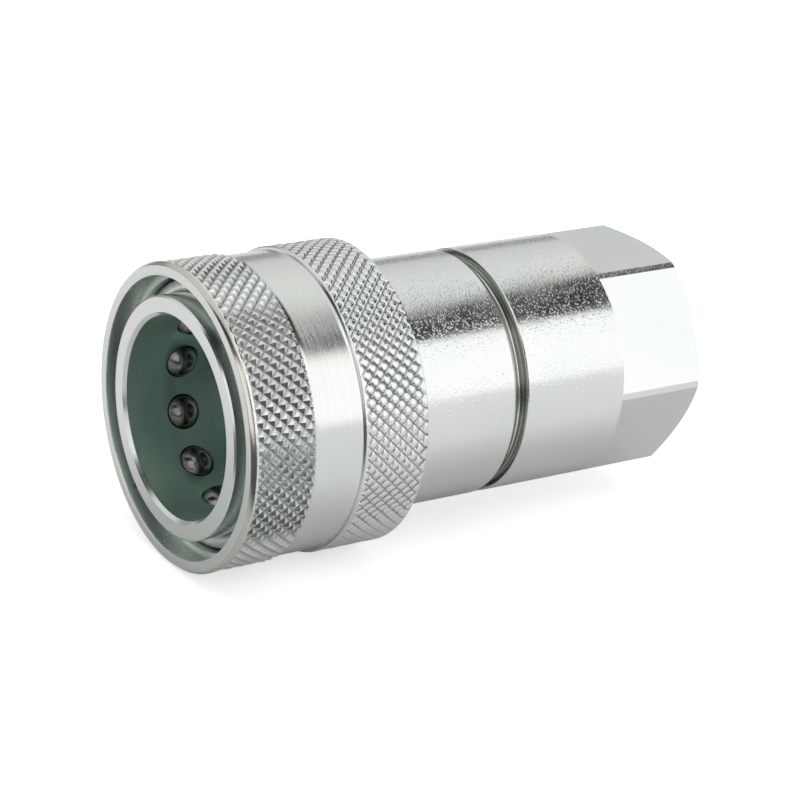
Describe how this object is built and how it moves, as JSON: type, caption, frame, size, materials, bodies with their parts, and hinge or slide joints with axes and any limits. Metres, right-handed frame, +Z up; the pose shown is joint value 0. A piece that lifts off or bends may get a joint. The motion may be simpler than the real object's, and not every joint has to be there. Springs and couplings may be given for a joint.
{
  "type": "quick disconnect coupler",
  "caption": "Female half of a ball-lock quick disconnect coupler: knurled sliding sleeve on a round steel body, ring of locking balls, poppet valve and hex hose port.",
  "frame": {"origin": "centre of the socket's front face, where the nipple enters", "axes": "+X along the coupler's axis from the socket back to the hose port, +Z up, square to one pair of hex flats"},
  "size_m": [0.068, 0.0374, 0.0374],
  "materials": {
    "body_zinc": "bright zinc plate with a fine orange-peel surface",
    "adapter_zinc": "bright zinc plate, smooth on the hex flats",
    "sleeve_zinc": "bright zinc plate, diamond knurl and a turned smooth band",
    "ball_steel": "polished hardened steel",
    "ring_steel": "drawn spring wire",
    "spring_steel": "drawn spring wire",
    "valve_steel": "turned and plated",
    "guide_steel": "plated",
    "circlip_steel": "phosphated spring steel",
    "seal_rubber": "moulded nitrile",
    "backup_plastic": "cut from fluoropolymer rod"
  },
  "bodies": {
    "coupler_body": {"front_body": "body_zinc", "rear_adapter": "adapter_zinc", "sleeve_stop_ring": "ring_steel", "probe_seal": "seal_rubber", "backup_ring": "backup_plastic", "joint_seal": "seal_rubber", "valve_guide": "guide_steel", "guide_circlip": "circlip_steel", "poppet_spring": "spring_steel"},
    "spring_turn": {"sleeve_spring": "spring_steel"},
    "sleeve": {"locking_sleeve": "sleeve_zinc"},
    "poppet": {"valve_poppet": "valve_steel", "poppet_seal": "seal_rubber"},
    "ball_01": {"lock_ball_01": "ball_steel"},
    "ball_02": {"lock_ball_02": "ball_steel"},
    "ball_03": {"lock_ball_03": "ball_steel"},
    "ball_04": {"lock_ball_04": "ball_steel"},
    "ball_05": {"lock_ball_05": "ball_steel"},
    "ball_06": {"lock_ball_06": "ball_steel"},
    "ball_07": {"lock_ball_07": "ball_steel"},
    "ball_08": {"lock_ball_08": "ball_steel"},
    "ball_09": {"lock_ball_09": "ball_steel"},
    "ball_10": {"lock_ball_10": "ball_steel"},
    "ball_11": {"lock_ball_11": "ball_steel"},
    "ball_12": {"lock_ball_12": "ball_steel"}
  },
  "joints": [
    {"name": "sleeve_spin", "type": "hinge", "parent": "coupler_body", "child": "spring_turn", "pos_m": [0.012, 0, 0], "axis": [1, 0, 0], "continuous": true},
    {"name": "sleeve_slide", "type": "slide", "parent": "spring_turn", "child": "sleeve", "axis": [1, 0, 0], "range_m": [0, 0.0065], "stiffness_N_per_m": 2500, "springref_m": -0.006, "deforming": ["sleeve_spring"]},
    {"name": "poppet_slide", "type": "slide", "parent": "coupler_body", "child": "poppet", "axis": [1, 0, 0], "range_m": [0, 0.0055], "stiffness_N_per_m": 800, "springref_m": -0.003, "deforming": ["poppet_spring"]},
    {"name": "ball_01_rise", "type": "slide", "parent": "coupler_body", "child": "ball_01", "axis": [0, 0.9936, 0.1132], "range_m": [0, 0.0013]},
    {"name": "ball_02_rise", "type": "slide", "parent": "coupler_body", "child": "ball_02", "axis": [0, 0.8039, 0.5948], "range_m": [0, 0.0013]},
    {"name": "ball_03_rise", "type": "slide", "parent": "coupler_body", "child": "ball_03", "axis": [0, 0.3987, 0.9171], "range_m": [0, 0.0013]},
    {"name": "ball_04_rise", "type": "slide", "parent": "coupler_body", "child": "ball_04", "axis": [0, -0.1132, 0.9936], "range_m": [0, 0.0013]},
    {"name": "ball_05_rise", "type": "slide", "parent": "coupler_body", "child": "ball_05", "axis": [0, -0.5948, 0.8039], "range_m": [0, 0.0013]},
    {"name": "ball_06_rise", "type": "slide", "parent": "coupler_body", "child": "ball_06", "axis": [0, -0.9171, 0.3987], "range_m": [0, 0.0013]},
    {"name": "ball_07_rise", "type": "slide", "parent": "coupler_body", "child": "ball_07", "axis": [0, -0.9936, -0.1132], "range_m": [0, 0.0013]},
    {"name": "ball_08_rise", "type": "slide", "parent": "coupler_body", "child": "ball_08", "axis": [0, -0.8039, -0.5948], "range_m": [0, 0.0013]},
    {"name": "ball_09_rise", "type": "slide", "parent": "coupler_body", "child": "ball_09", "axis": [0, -0.3987, -0.9171], "range_m": [0, 0.0013]},
    {"name": "ball_10_rise", "type": "slide", "parent": "coupler_body", "child": "ball_10", "axis": [0, 0.1132, -0.9936], "range_m": [0, 0.0013]},
    {"name": "ball_11_rise", "type": "slide", "parent": "coupler_body", "child": "ball_11", "axis": [0, 0.5948, -0.8039], "range_m": [0, 0.0013]},
    {"name": "ball_12_rise", "type": "slide", "parent": "coupler_body", "child": "ball_12", "axis": [0, 0.9171, -0.3987], "range_m": [0, 0.0013]}
  ],
  "couplings": [
    {"joint": "ball_01_rise", "follows": "sleeve_slide", "ratio": 0.2},
    {"joint": "ball_02_rise", "follows": "sleeve_slide", "ratio": 0.2},
    {"joint": "ball_03_rise", "follows": "sleeve_slide", "ratio": 0.2},
    {"joint": "ball_04_rise", "follows": "sleeve_slide", "ratio": 0.2},
    {"joint": "ball_05_rise", "follows": "sleeve_slide", "ratio": 0.2},
    {"joint": "ball_06_rise", "follows": "sleeve_slide", "ratio": 0.2},
    {"joint": "ball_07_rise", "follows": "sleeve_slide", "ratio": 0.2},
    {"joint": "ball_08_rise", "follows": "sleeve_slide", "ratio": 0.2},
    {"joint": "ball_09_rise", "follows": "sleeve_slide", "ratio": 0.2},
    {"joint": "ball_10_rise", "follows": "sleeve_slide", "ratio": 0.2},
    {"joint": "ball_11_rise", "follows": "sleeve_slide", "ratio": 0.2},
    {"joint": "ball_12_rise", "follows": "sleeve_slide", "ratio": 0.2}
  ]
}
